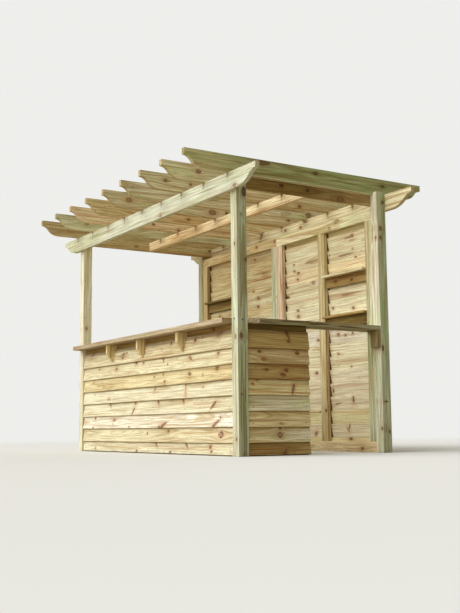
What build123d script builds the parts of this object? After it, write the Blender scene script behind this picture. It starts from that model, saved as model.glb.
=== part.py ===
"""Timber outdoor bar with a slatted pergola roof.

Four posts carry a front and a rear beam, and nine rafters with curved tails
cross them. The front and half of the right side are closed by low panels of
lapped boards under a counter. The back is a full-height panel wall with
shelves, and the rest of the right side is the doorway under the counter.

The frame is in millimetres. X runs along the front, Y from front to back and
Z up. The origin is on the ground, under the middle of the roof's outline.
"""
import math
import os

from build123d import *

# Timber sections
POST = 89.0
STUD_WIDE = 89.0
STUD_THICK = 38.0
PLANK_WIDE = 140.0
PLANK_THICK = 38.0
BOARD_WIDE = 140.0
BOARD_THICK = 19.0
SHELF_THICK = 19.0
SIDE_COUNTER_WIDE = 184.0

# Overall sizes, over the outer faces of the posts
BAR_WIDTH = 3010.0
BAR_DEPTH = 1486.0
ROOF_UNDERSIDE = 2163.0
COUNTER_HEIGHT = 1041.0

# Roof
RAFTER_COUNT = 9
RIGHT_RAFTER_INSET = 49.0
BEAM_OVERHANG = 324.0
FRONT_TAIL = 390.0
REAR_TAIL = 410.0
RAFTER_NIB = 50.0
RAFTER_OGEE = 175.0
RAFTER_OGEE_SPLIT = 0.36
BEAM_NIB = 45.0
BEAM_OGEE = 265.0
BEAM_OGEE_SPLIT = 0.33
POST_LIP = 18.0
LIP_CLEARANCE = 1.0

# Panels
PANEL_RECESS = 4.0
SIDE_PANEL_LENGTH = 580.0
WALL_HEIGHT = 2045.0
BOARD_EXPOSURE = 119.4
LAP_CLEARANCE = 0.4
SIDING_END_GAP = 1.0
SIDING_DROP = 51.0
WALL_SIDING_DROP = 16.0
GROUND_GAP = 5.0
FRONT_STUD_COUNT = 5
SIDE_STUD_COUNT = 2
WALL_STUD_COUNT = 3

# Counter
COUNTER_THICK = 38.0
COUNTER_LIP = 86.0
COUNTER_GAP = 6.0
COUNTER_LEFT_INSET = 30.0
BRACKET_PLACES = (794.0, 1430.0, 2162.0)
BRACKET_SETBACK = 32.0
BRACKET_HEIGHT = 158.0
BRACKET_BEVEL = 87.0
BRACKET_TIP = 8.0
BRACKET_CLEARANCE = 0.3
HEEL_CLEARANCE = 1.0
BLOCK_HEIGHT = 140.0

# Shelves in the end bays of the rear wall
UPPER_SHELF = 1557.0
LOWER_SHELF = 1190.0
SHELF_PROUD = 38.0
LEDGER_HEIGHT = 89.0
LEDGER_THICK = 19.0

# Faces and lines that the pieces share
LEFT = -BAR_WIDTH / 2
RIGHT = BAR_WIDTH / 2
FRONT = (FRONT_TAIL - REAR_TAIL - BAR_DEPTH) / 2
REAR = FRONT + BAR_DEPTH
BAY_LEFT = LEFT + POST
BAY_RIGHT = RIGHT - POST
BEAM_BOTTOM = ROOF_UNDERSIDE - PLANK_WIDE
PANEL_HEIGHT = COUNTER_HEIGHT - COUNTER_THICK
LAP_ANGLE = math.degrees(math.atan((BOARD_THICK + LAP_CLEARANCE) / BOARD_EXPOSURE))
WALL_MIDDLE = (BAY_LEFT + BAY_RIGHT) / 2


def box(x0, x1, y0, y1, z0, z1):
    """A straight piece of timber between three pairs of faces."""
    size = (x1 - x0, y1 - y0, z1 - z0)
    return Pos(x0, y0, z0) * Box(*size, align=(Align.MIN, Align.MIN, Align.MIN))


def save(name, *solids):
    """Write one node, whose pieces stay separate solids."""
    shape = solids[0] if len(solids) == 1 else Compound(children=list(solids))
    export_step(shape, f"parts/{name}.step")


def ogee_plank(length, height, nib, reach, split):
    """Side outline of a plank, along +X from 0, with a curved tail at both ends.

    Each tail is a short upright nib below the top edge, then two arcs that
    leave it level, bend down and run out level into the bottom edge.
    """
    drop = height - nib
    radius = (reach**2 + drop**2) / (2 * drop)
    turn = 2 * math.atan(drop / reach)
    bend = Vector(split * reach, height - nib - split * drop)
    cove = Vector(split * radius * math.sin(turn / 2), height - nib - split * radius * (1 - math.cos(turn / 2)))
    round_x = reach - (1 - split) * radius * math.sin(turn / 2)
    round_z = (1 - split) * radius * (1 - math.cos(turn / 2))
    with BuildSketch(Plane.XZ) as outline:
        with BuildLine():
            ends = []
            for side in (0, 1):
                def place(x, z, side=side):
                    return (length - x, z) if side else (x, z)

                ThreePointArc(place(0, height - nib), place(cove.X, cove.Y), place(bend.X, bend.Y))
                ThreePointArc(place(bend.X, bend.Y), place(round_x, round_z), place(reach, 0))
                Line(place(0, height - nib), place(0, height))
                ends.append(place(reach, 0))
            Line(*ends)
            Line((0, height), (length, height))
        make_face()
    return outline.sketch


def ogee_beam(y):
    """A beam along X whose front face is at y."""
    length = BAR_WIDTH + 2 * BEAM_OVERHANG
    outline = ogee_plank(length, PLANK_WIDE, BEAM_NIB, BEAM_OGEE, BEAM_OGEE_SPLIT)
    beam = extrude(outline, -PLANK_THICK)
    return Pos(LEFT - BEAM_OVERHANG, y, BEAM_BOTTOM) * beam


def rafter(x):
    """A rafter along Y whose left face is at x."""
    length = FRONT_TAIL + REAR_TAIL + BAR_DEPTH + 2 * PLANK_THICK
    outline = ogee_plank(length, PLANK_WIDE, RAFTER_NIB, RAFTER_OGEE, RAFTER_OGEE_SPLIT)
    timber = Rot(0, 0, 90) * extrude(outline, -PLANK_THICK)
    return Pos(x + PLANK_THICK, FRONT - PLANK_THICK - FRONT_TAIL, ROOF_UNDERSIDE) * timber


def lapped_boards(length, top):
    """Lapped boards along +X, against a stud face at y 0 and laid towards -Y.

    Each board leans on the upper edge of the one below it. The lowest is cut
    to the height that is left above the ground.
    """
    boards = []
    upper = top
    while upper > GROUND_GAP + BOARD_THICK:
        slope = BOARD_WIDE * math.cos(math.radians(LAP_ANGLE))
        drop = min(slope, upper - GROUND_GAP)
        wide = drop / math.cos(math.radians(LAP_ANGLE))
        flat = Box(length, BOARD_THICK, wide, align=(Align.MIN, Align.MAX, Align.MAX))
        boards.append(Pos(0, 0, upper) * Rot(-LAP_ANGLE, 0, 0) * flat)
        upper -= BOARD_EXPOSURE
    return boards


def siding_depth():
    """How far the lapped boards stand out from the studs."""
    angle = math.radians(LAP_ANGLE)
    return BOARD_WIDE * math.sin(angle) + BOARD_THICK * math.cos(angle)


def siding_face(z):
    """How far the top board's outer face stands out from the studs.

    The height z is measured down from the upper edge of the board.
    """
    angle = math.radians(LAP_ANGLE)
    return BOARD_THICK / math.cos(angle) + z * math.tan(angle)


def stud_places(x0, x1, count):
    """Left edges of studs spaced evenly from one end of a frame to the other."""
    step = (x1 - x0 - STUD_WIDE) / (count - 1)
    return [x0 + step * number for number in range(count)]


def panel(x0, x1, height, count, siding_top):
    """Rails, studs and boards of a panel whose studs' outer face is at y 0."""
    rails = [
        box(x0, x1, 0, STUD_THICK, 0, STUD_WIDE),
        box(x0, x1, 0, STUD_THICK, height - STUD_WIDE, height),
    ]
    studs = [
        box(x, x + STUD_WIDE, 0, STUD_THICK, STUD_WIDE, height - STUD_WIDE)
        for x in stud_places(x0, x1, count)
    ]
    boards = [
        Pos(x0 + SIDING_END_GAP, 0, 0) * board
        for board in lapped_boards(x1 - x0 - 2 * SIDING_END_GAP, siding_top)
    ]
    return rails, studs, boards


def save_panel(name, place, pieces):
    """Write the rails, studs and boards of one panel at its place."""
    for kind, solids in zip(("rails", "studs", "siding"), pieces):
        save(f"{name}_{kind}", *(place * solid for solid in solids))


def make_posts():
    """Four square posts, the rear right one with a lip beside its rafter."""
    for side, x in (("left", LEFT), ("right", BAY_RIGHT)):
        for end, y in (("front", FRONT), ("rear", REAR - POST)):
            post = box(x, x + POST, y, y + POST, 0, ROOF_UNDERSIDE)
            if (side, end) == ("right", "rear"):
                lip_x = RIGHT - RIGHT_RAFTER_INSET + LIP_CLEARANCE
                post += box(lip_x, RIGHT, y, y + POST, ROOF_UNDERSIDE, ROOF_UNDERSIDE + POST_LIP)
            save(f"post_{end}_{side}", post)


def make_roof():
    """Front and rear beams, side plates, middle beam and rafters."""
    save("beam_front", ogee_beam(FRONT - PLANK_THICK))
    save("beam_rear", ogee_beam(REAR))
    plate_bottom = ROOF_UNDERSIDE - STUD_WIDE
    plates = {"left": BAY_LEFT, "right": BAY_RIGHT - STUD_THICK}
    for side, x in plates.items():
        save(f"side_plate_{side}", box(x, x + STUD_THICK, FRONT, REAR, plate_bottom, ROOF_UNDERSIDE))
    middle = (FRONT + REAR) / 2
    save("beam_middle", box(
        BAY_LEFT + STUD_THICK, BAY_RIGHT - STUD_THICK,
        middle - STUD_THICK / 2, middle + STUD_THICK / 2,
        plate_bottom, ROOF_UNDERSIDE,
    ))
    step = (BAR_WIDTH - RIGHT_RAFTER_INSET - PLANK_THICK) / (RAFTER_COUNT - 1)
    for number in range(RAFTER_COUNT):
        save(f"rafter_{number + 1}", rafter(LEFT + step * number))


def make_low_panels():
    """The front panel and the half panel on the right side."""
    stud_face = PANEL_RECESS + siding_depth()
    siding_top = PANEL_HEIGHT - SIDING_DROP
    front = panel(BAY_LEFT, BAY_RIGHT, PANEL_HEIGHT, FRONT_STUD_COUNT, siding_top)
    save_panel("front_panel", Pos(0, FRONT + stud_face, 0), front)
    side = panel(0, SIDE_PANEL_LENGTH, PANEL_HEIGHT, SIDE_STUD_COUNT, siding_top)
    place = Pos(RIGHT - stud_face, FRONT + POST, 0) * Rot(0, 0, 90)
    save_panel("side_panel", place, side)


def make_rear_wall():
    """Two full-height sections side by side, boarded on the outside."""
    stud_face = REAR - PANEL_RECESS - siding_depth()
    siding_top = WALL_HEIGHT - WALL_SIDING_DROP
    half = WALL_MIDDLE - BAY_LEFT
    for side, right_edge in (("left", WALL_MIDDLE), ("right", BAY_RIGHT)):
        section = panel(0, half, WALL_HEIGHT, WALL_STUD_COUNT, siding_top)
        save_panel(f"wall_{side}", Pos(right_edge, stud_face, 0) * Rot(0, 0, 180), section)


def make_counter():
    """Front counter boards notched round the posts, and the side counter."""
    low = PANEL_HEIGHT
    front_edge = FRONT - COUNTER_LIP
    seam = front_edge + PLANK_WIDE
    inner_edge = seam + COUNTER_GAP + PLANK_WIDE
    outer = box(LEFT + COUNTER_LEFT_INSET, BAY_RIGHT, front_edge, seam, low, COUNTER_HEIGHT)
    outer -= box(LEFT - POST, BAY_LEFT, FRONT, seam + POST, low - POST, COUNTER_HEIGHT + POST)
    save("counter_front_outer", outer)
    inner = box(LEFT, RIGHT, seam + COUNTER_GAP, inner_edge, low, COUNTER_HEIGHT)
    for x in (LEFT, BAY_RIGHT):
        inner -= box(x, x + POST, FRONT, FRONT + POST, low - POST, COUNTER_HEIGHT + POST)
    save("counter_front_inner", inner)
    side_x = RIGHT - SIDE_COUNTER_WIDE
    side = box(side_x, RIGHT, inner_edge, REAR - POST, low, COUNTER_HEIGHT)
    save("counter_side", side)
    block_y = REAR - POST - PLANK_THICK
    save("counter_block", box(BAY_RIGHT, RIGHT, block_y, REAR - POST, low - BLOCK_HEIGHT, low))


def make_brackets():
    """Three pointed brackets under the counter's lip.

    Each has its heel on the rail, above the boards, and its back along the
    top board's face down to the tip.
    """
    rail_y = FRONT + PANEL_RECESS + siding_depth()
    heel = BOARD_THICK * math.sin(math.radians(LAP_ANGLE)) + HEEL_CLEARANCE
    tip = BRACKET_HEIGHT - SIDING_DROP
    heel_y, tip_y = (rail_y - siding_face(z) - BRACKET_CLEARANCE for z in (-heel, tip))
    heel_z, tip_z = (PANEL_HEIGHT - SIDING_DROP - z for z in (-heel, tip))
    front_y = FRONT - COUNTER_LIP + BRACKET_SETBACK
    with BuildSketch(Plane.YZ) as outline:
        with BuildLine():
            Polyline(
                (rail_y, PANEL_HEIGHT),
                (rail_y, heel_z),
                (heel_y, heel_z),
                (tip_y, tip_z),
                (tip_y - BRACKET_TIP, tip_z),
                (front_y, PANEL_HEIGHT - BRACKET_BEVEL),
                (front_y, PANEL_HEIGHT),
                close=True,
            )
        make_face()
    bracket = extrude(outline.sketch, -STUD_THICK)
    save("counter_brackets", *(Pos(LEFT + place, 0, 0) * bracket for place in BRACKET_PLACES))


def make_shelves():
    """Two shelves on ledgers in each end bay of the rear wall."""
    wall_y = REAR - PANEL_RECESS - siding_depth()
    bay = stud_places(BAY_LEFT, WALL_MIDDLE, WALL_STUD_COUNT)[1] - BAY_LEFT - STUD_WIDE
    bays = {"left": BAY_LEFT + STUD_WIDE, "right": BAY_RIGHT - STUD_WIDE - bay}
    ledgers = []
    for level, top in (("upper", UPPER_SHELF), ("lower", LOWER_SHELF)):
        low = top - SHELF_THICK
        for side, x in bays.items():
            front_y = wall_y - STUD_THICK - SHELF_PROUD
            save(f"shelf_{level}_{side}", box(x, x + bay, front_y, wall_y, low, top))
            ledgers.append(box(x, x + bay, wall_y - LEDGER_THICK, wall_y, low - LEDGER_HEIGHT, low))
    save("shelf_ledgers", *ledgers)


def main():
    os.makedirs("parts", exist_ok=True)
    make_posts()
    make_roof()
    make_low_panels()
    make_rear_wall()
    make_counter()
    make_brackets()
    make_shelves()


main()
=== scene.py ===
"""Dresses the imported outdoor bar: sawn pine on every timber, loose boards, fasteners and a plain studio."""
import logging
import math
import random
from collections.abc import Sequence
from dataclasses import dataclass
from enum import Enum

import bpy
from mathutils import Matrix, Vector


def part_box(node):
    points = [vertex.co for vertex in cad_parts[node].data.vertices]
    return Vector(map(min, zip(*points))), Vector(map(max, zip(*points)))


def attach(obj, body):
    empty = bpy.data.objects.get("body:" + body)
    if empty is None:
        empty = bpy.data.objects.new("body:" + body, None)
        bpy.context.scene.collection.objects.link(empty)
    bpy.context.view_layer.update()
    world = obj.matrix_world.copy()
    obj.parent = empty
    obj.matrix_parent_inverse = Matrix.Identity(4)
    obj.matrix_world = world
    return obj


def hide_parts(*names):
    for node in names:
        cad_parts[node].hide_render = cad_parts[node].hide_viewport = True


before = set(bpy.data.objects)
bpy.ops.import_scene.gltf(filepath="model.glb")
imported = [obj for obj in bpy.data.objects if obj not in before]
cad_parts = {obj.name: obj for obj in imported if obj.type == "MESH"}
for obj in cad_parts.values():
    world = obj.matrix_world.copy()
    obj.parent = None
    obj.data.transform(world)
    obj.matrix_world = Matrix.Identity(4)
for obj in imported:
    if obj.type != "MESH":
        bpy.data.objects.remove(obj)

Triple = tuple[float, float, float]
Colour = tuple[float, float, float, float]

log = logging.getLogger("outdoor_bar")

BODY = "root"
WALL_TOP = 2.029
SEEDS = (1, 60)


class Tone(Enum):
    """Colour of a planed face, as red, green and blue from 0 to 255."""

    BLEACHED = (250, 248, 230)
    IVORY = (250, 246, 212)
    FLAX = (250, 241, 210)
    BUTTER = (250, 242, 192)
    CREAM = (240, 236, 206)
    PEACH = (250, 234, 194)
    PEARL = (232, 227, 196)
    MIST = (226, 231, 210)
    WILLOW = (229, 231, 194)
    SAND = (231, 223, 187)
    SAGE = (218, 224, 194)
    STRAW = (238, 223, 173)
    WHEAT = (225, 212, 167)
    BLUSH = (234, 212, 184)
    HONEY = (213, 195, 148)
    ROSE = (198, 184, 156)
    LICHEN = (183, 187, 155)
    FERN = (212, 214, 164)
    CELADON = (198, 208, 178)
    OLIVE = (177, 186, 134)
    ASH = (172, 165, 132)
    TAN = (188, 162, 103)
    MOSS = (167, 156, 110)
    UMBER = (173, 148, 94)
    OCHRE = (159, 138, 80)
    PEAT = (122, 102, 48)

    def linear(self) -> Colour:
        """Give the colour as the renderer counts it, with an alpha of one."""
        return (*(to_linear(part / 255) for part in self.value), 1.0)


class Grain(Enum):
    """Which row axes run along the grain, across the wide face and through the timber."""

    ALONG_X = (0, 2, 1)
    ALONG_X_FLAT = (0, 1, 2)
    ALONG_Y = (1, 2, 0)
    ALONG_Y_FLAT = (1, 0, 2)
    UPRIGHT = (2, 1, 0)
    UPRIGHT_FRONT = (2, 0, 1)


def to_linear(part: float) -> float:
    """Turn one sRGB value from 0 to 1 into a linear one."""
    return part / 12.92 if part <= 0.04045 else ((part + 0.055) / 1.055) ** 2.4


class Wire:
    """A number, vector or colour in a shader tree, which plain sums and its methods carry further."""

    def __init__(self, graph: "Graph", socket: bpy.types.NodeSocket) -> None:
        """Hold an output socket of one of a graph's nodes."""
        self.graph = graph
        self.socket = socket

    def __add__(self, other: object) -> "Wire":
        """Add a number or a vector."""
        return self.math("ADD", other)

    def __sub__(self, other: object) -> "Wire":
        """Take away a number or a vector."""
        return self.math("SUBTRACT", other)

    def __mul__(self, other: object) -> "Wire":
        """Multiply by a number, or by a vector part by part."""
        return self.math("MULTIPLY", other)

    def __truediv__(self, other: object) -> "Wire":
        """Divide by a number."""
        return self.math("DIVIDE", other)

    def math(self, operation: str, *others: object) -> "Wire":
        """Pass it through a maths node, which is a vector one unless it is a plain number.

        Args:
            operation: The node's operation.
            *others: The operation's other numbers, vectors or wires.

        Returns:
            The result.
        """
        values = dict(enumerate((self, *others)))
        if self.socket.type == "VALUE":
            return self.graph.wire("ShaderNodeMath", 0, values, operation=operation)
        output = "Value" if operation in ("LENGTH", "DOT_PRODUCT") else "Vector"
        return self.graph.wire("ShaderNodeVectorMath", output, values, operation=operation)

    def scaled(self, amount: object) -> "Wire":
        """Scale a vector by one number."""
        return self.graph.wire("ShaderNodeVectorMath", 0, {0: self, "Scale": amount}, operation="SCALE")

    def parts(self) -> list["Wire"]:
        """Give the three numbers of a vector or colour."""
        return list(self.graph.spread("ShaderNodeSeparateXYZ", {0: self}).values())

    def span(self, low: float, high: float, out: tuple[float, float] = (0, 1)) -> "Wire":
        """Ease a number from one range to another.

        Args:
            low: Where the change starts.
            high: Where it ends, which may be below low.
            out: The results at low and at high.

        Returns:
            The result.
        """
        first, last = out[::-1] if low > high else out
        low, high = min(low, high), max(low, high)
        inputs = {"Value": self, "From Min": low, "From Max": high, "To Min": first, "To Max": last}
        return self.graph.wire("ShaderNodeMapRange", "Result", inputs, interpolation_type="SMOOTHSTEP")

    def noise(self, pace: Triple, detail: float = 2.0, output: str = "Fac") -> "Wire":
        """Draw a noise that changes pace times a metre, as Fac from 0 to 1 or as Color."""
        return self.graph.wire("ShaderNodeTexNoise", output, {"Vector": self * pace, "Scale": 1.0, "Detail": detail})

    def wander(self, pace: Triple, reach: Triple) -> "Wire":
        """Give a small random shift that changes slowly over a vector."""
        return (self.noise(pace, 1.0, "Color") - (0.5, 0.5, 0.5)) * reach

    def tint(self, factor: object, filtered: Triple) -> "Wire":
        """Filter a colour by another where the factor is high."""
        return self.graph.blend(factor, self, (*filtered, 1.0), "MULTIPLY")


class Graph:
    """Adds nodes to one shader tree and links them."""

    def __init__(self, tree: bpy.types.NodeTree) -> None:
        """Start on the tree that gets the nodes."""
        self.tree = tree

    def add(self, kind: str, inputs: dict | None = None, **settings: object) -> bpy.types.Node:
        """Add one node.

        Args:
            kind: The node's type name.
            inputs: Values or wires for its inputs, by name or number.
            **settings: Properties of the node.

        Returns:
            The new node.
        """
        node = self.tree.nodes.new(kind)
        for key, value in settings.items():
            setattr(node, key, value)
        self.feed(node, inputs or {})
        return node

    def feed(self, node: bpy.types.Node, inputs: dict) -> None:
        """Link wires to a node's inputs, and set the inputs that get plain values."""
        for key, value in inputs.items():
            if isinstance(value, Wire):
                self.tree.links.new(value.socket, node.inputs[key])
            else:
                node.inputs[key].default_value = value

    def spread(self, kind: str, inputs: dict | None = None, **settings: object) -> dict[str, Wire]:
        """Add one node and give its outputs by name."""
        return {socket.name: Wire(self, socket) for socket in self.add(kind, inputs, **settings).outputs}

    def wire(self, kind: str, output: str | int, inputs: dict | None = None, **settings: object) -> Wire:
        """Add one node and give one of its outputs."""
        return Wire(self, self.add(kind, inputs, **settings).outputs[output])

    def place(self) -> Wire:
        """Give the row's coordinates."""
        return self.wire("ShaderNodeTexCoord", "Object")

    def combine(self, x: object, y: object, z: object) -> Wire:
        """Join three numbers into a vector."""
        return self.wire("ShaderNodeCombineXYZ", 0, {0: x, 1: y, 2: z})

    def blend(self, factor: object, first: object, second: object, mode: str = "MIX") -> Wire:
        """Mix two colours."""
        return self.wire("ShaderNodeMix", 2, {0: factor, 6: first, 7: second}, data_type="RGBA", blend_type=mode)


def new_group(name: str, inputs: dict[str, str], outputs: dict[str, str]) -> tuple[Graph, dict, bpy.types.Node]:
    """Start a node group.

    Args:
        name: The group's name.
        inputs: Names of its inputs, parted by spaces, for each kind of socket.
        outputs: The same of its outputs.

    Returns:
        The graph, its inputs by name, and its output node.
    """
    tree = bpy.data.node_groups.new(name, "ShaderNodeTree")
    for side, kinds in (("INPUT", inputs), ("OUTPUT", outputs)):
        for kind, names in kinds.items():
            for socket in names.split():
                tree.interface.new_socket(socket, in_out=side, socket_type=f"NodeSocket{kind}")
    graph = Graph(tree)
    return graph, graph.spread("NodeGroupInput"), graph.add("NodeGroupOutput")


@dataclass(frozen=True)
class Knot:
    """One branch knot, stain or painted shadow on a timber's face.

    Attributes:
        along: Its row coordinate along the grain, in metres.
        across: Its row coordinate across the face, in metres.
        radius: Half its width.
        lean: Degrees from the grain to its long axis, which ends in its narrow end.
        long: Its length over its width.
        dark: How strongly it shows.
        red: Its colour, from nearly black at 0 over red-brown to salmon at 1.
        edge: True on the timber's narrow face.
    """

    along: float
    across: float
    radius: float = 0.010
    lean: float = 0.0
    long: float = 1.35
    dark: float = 0.9
    red: float = 0.3
    edge: bool = False

    def aim(self) -> tuple[float, float]:
        """Give the cosine and sine of its lean."""
        return math.cos(math.radians(self.lean)), math.sin(math.radians(self.lean))


@dataclass(frozen=True)
class Pattern:
    """A noise on the grain's coordinates.

    Attributes:
        pace: How often it changes along, across and through the timber, per metre.
        start: The noise's value where the pattern starts to show.
        full: Its value where the pattern shows in full, which may be below start.
        detail: How many finer noises lie on it.
    """

    pace: Triple
    start: float
    full: float
    detail: float = 2.0

    def draw(self, on: Wire) -> Wire:
        """Draw it on coordinates, from 0 to 1."""
        return on.noise(self.pace, self.detail).span(self.start, self.full)


@dataclass(frozen=True)
class Stain:
    """A pattern that filters the wood's colour.

    Attributes:
        filtered: How much red, green and blue it leaves.
        strength: How strongly it filters.
        by: The pine group's input that it also goes by, where it has one.
    """

    pattern: Pattern
    filtered: Triple
    strength: float = 1.0
    by: str = ""

    def lay(self, colour: Wire, free: Wire, given: dict[str, Wire]) -> Wire:
        """Lay it over the colour so far, on grain coordinates moved by the seed."""
        amount = self.pattern.draw(free) * self.strength
        return colour.tint(amount * given[self.by] if self.by else amount, self.filtered)


STAINS = {
    "heartwood": Stain(Pattern((0.7, 9.0, 9.0), 0.50, 0.68, 3.0), (0.86, 0.60, 0.40), by="Warm"),
    "pitch": Stain(Pattern((0.9, 42.0, 42.0), 0.62, 0.67, 1.0), (0.72, 0.38, 0.22), 1.6, "Warm"),
    "treatment": Stain(Pattern((1.9, 24.0, 24.0), 0.48, 0.64, 3.0), (0.76, 0.86, 0.60), by="Green"),
    "green sap": Stain(Pattern((1.1, 52.0, 52.0), 0.55, 0.68), (0.62, 0.72, 0.46), 0.8, "Green"),
    "flecks": Stain(Pattern((26.0, 120.0, 120.0), 0.67, 0.74, 1.0), (0.42, 0.28, 0.18), 0.6),
    "shade": Stain(Pattern((2.2, 8.0, 8.0), 0.30, 0.70), (0.88, 0.88, 0.88), 0.5),
}


class PineShader:
    """Node groups that draw sawn pine and its knots on grain coordinates, in metres."""

    # Width of a growth ring, how fast rings drift along the grain, and the bands they gather in.
    RING = 0.0062
    DRIFT = 0.016
    BANDS = Pattern((90.0, 0.9, 1.0), 0.53, 0.62)
    BROAD_BANDS = Pattern((26.0, 0.5, 2.3), 0.48, 0.64)
    # The pith's distance from the timber's middle: its spread across, its spread in depth and least depth.
    PITH = (0.13, 0.07, 0.035)
    # Pace of the streaks, the fibres and the saw's marks, and how much each part of the grain darkens.
    STREAKS = (1.2, 70.0, 70.0)
    FIBRES = (3.2, 150.0, 150.0)
    SAW = (260.0, 12.0, 12.0)
    WEIGHTS = {"rings": 0.30, "bands": 0.62, "broad": 0.30, "streaks": 0.34, "fibres": 0.46}
    SEED_STEPS = (3.71, 1.93, 2.57)
    # What each filter leaves of red, green and blue.
    PALE_FIBRE = (1.16, 1.18, 1.20)
    DARK_GRAIN = (0.64, 0.52, 0.38)
    KNOT_HALO = (0.68, 0.38, 0.21)
    END_GRAIN = (0.70, 0.62, 0.50)
    LAP_SHADE = (0.20, 0.13, 0.08)
    SPLASH = (0.20, 0.155, 0.10, 1)
    SPLASH_TOP = 0.05
    # Scattered knots: the length and width of the cell that may hold one, its least and added radius.
    KNOT_CELL = (0.46, 0.105)
    KNOT_RADIUS = (0.004, 0.009)
    # Any knot: usual length over width, how much wider it is drawn, its least radius, how far and how
    # strongly it bends the grain, how far its halo reaches, and its colours.
    ROUND = 1.35
    SWELL = 1.3
    SMALLEST = 0.0004
    PULL = (-0.16, -1.1)
    HALO = -0.22
    NOT_RED = (0.035, 0.016, 0.009, 1)
    RED_BROWN = (0.13, 0.041, 0.017, 1)
    SALMON = (0.48, 0.20, 0.10, 1)

    def __init__(self) -> None:
        """Make both groups."""
        self.knot = self.make_knot()
        self.pine = self.make_pine()

    def make_knot(self) -> bpy.types.NodeTree:
        """Make the group that bends the grain round one knot and marks its core.

        Spot holds the knot's place along and across and its radius. Turn holds the cosine and sine
        of its lean and how strongly it shows.

        Returns:
            The group's tree.
        """
        graph, given, out = new_group(
            "branch_knot",
            {"Vector": "Vector Across Spot Turn", "Float": "Long Red Core Tint Halo"},
            {"Vector": "Vector", "Float": "Core Tint Halo"},
        )
        vector, face, long = given["Vector"], given["Across"], given["Long"]
        along, across, size = given["Spot"].parts()
        cosine, sine, dark = given["Turn"].parts()
        u = vector.parts()[0] - along
        v = vector.math("DOT_PRODUCT", face) - across
        ahead = u * cosine + v * sine
        aside = v * cosine - u * sine
        radius = (size * self.SWELL).math("MAXIMUM", self.SMALLEST)
        lengthwise = ahead / (radius * long)
        spike = long.span(1.5, 3.0, (0.0, -0.45))
        taper = (lengthwise * spike + 1.0).math("MAXIMUM", 0.3)
        sideways = aside / (radius * taper)
        square = lengthwise * lengthwise + sideways * sideways
        distance = square.math("SQRT")
        reach, strength = self.PULL
        pull = (square * reach).math("EXPONENT") * radius * (strength * self.ROUND) / long
        side = face.scaled(v) + graph.combine(u * 0.25, 0.0, 0.0)
        push = side.math("NORMALIZE").scaled(pull)
        rim = distance.span(0.45, 0.95, (0.74, 1.0))
        core = distance.span(1.10, 0.86) * rim * dark
        stronger = core.math("GREATER_THAN", given["Core"])
        change = (given["Red"] - given["Tint"]) * stronger
        halo = (square * self.HALO).math("EXPONENT") * dark
        graph.feed(out, {
            "Vector": vector + push,
            "Core": core.math("MAXIMUM", given["Core"]),
            "Tint": given["Tint"] + change,
            "Halo": halo.math("MAXIMUM", given["Halo"]),
        })
        return graph.tree

    def make_pine(self) -> bpy.types.NodeTree:
        """Make the group that colours the timber and gives its roughness and relief.

        Returns:
            The group's tree.
        """
        graph, given, out = new_group(
            "sawn_pine",
            {"Vector": "Vector Place", "Color": "Tone",
             "Float": "Seed End Lap Scatter Warm Green Contrast Core Tint Halo"},
            {"Color": "Color", "Float": "Roughness Height"},
        )
        seed, place = given["Seed"], given["Place"]
        free = given["Vector"] + graph.combine(*(seed * step for step in self.SEED_STEPS))
        vector, core, tint, halo = self.chance_knots(graph, given, free)
        rings, bands, broad = self.growth(graph, vector, free, seed)
        streak = free.noise(self.STREAKS)
        fibre = free.noise(self.FIBRES)
        weigh = self.WEIGHTS
        amount = rings * weigh["rings"] + bands * weigh["bands"] + broad * weigh["broad"]
        amount = amount + streak.span(0.54, 0.66) * weigh["streaks"] + fibre.span(0.50, 0.62) * weigh["fibres"]
        colour = given["Tone"].tint(fibre.span(0.53, 0.40), self.PALE_FIBRE)
        colour = colour.tint(amount * given["Contrast"], self.DARK_GRAIN)
        for stain in STAINS.values():
            colour = stain.lay(colour, free, given)
        colour = colour.tint(halo * 0.62, self.KNOT_HALO)
        heart = graph.blend(tint.span(0.0, 0.5), self.NOT_RED, self.RED_BROWN)
        heart = graph.blend(tint.span(0.5, 1.0), heart, self.SALMON)
        colour = graph.blend(core * 0.92, colour, heart)
        colour = colour.tint(given["End"] * 0.8, self.END_GRAIN)
        colour = colour.tint(given["Lap"], self.LAP_SHADE)
        splash = place.parts()[2].span(self.SPLASH_TOP, 0.0) * place.noise((14, 14, 14)).span(0.3, 0.7)
        colour = graph.blend(splash * 0.35, colour, self.SPLASH)
        relief = rings * 0.5 + free.noise(self.SAW, 1.0) * 0.5 + core * -0.6
        graph.feed(out, {"Color": colour, "Roughness": streak.span(0.2, 0.8, (0.66, 0.84)), "Height": relief})
        return graph.tree

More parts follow.
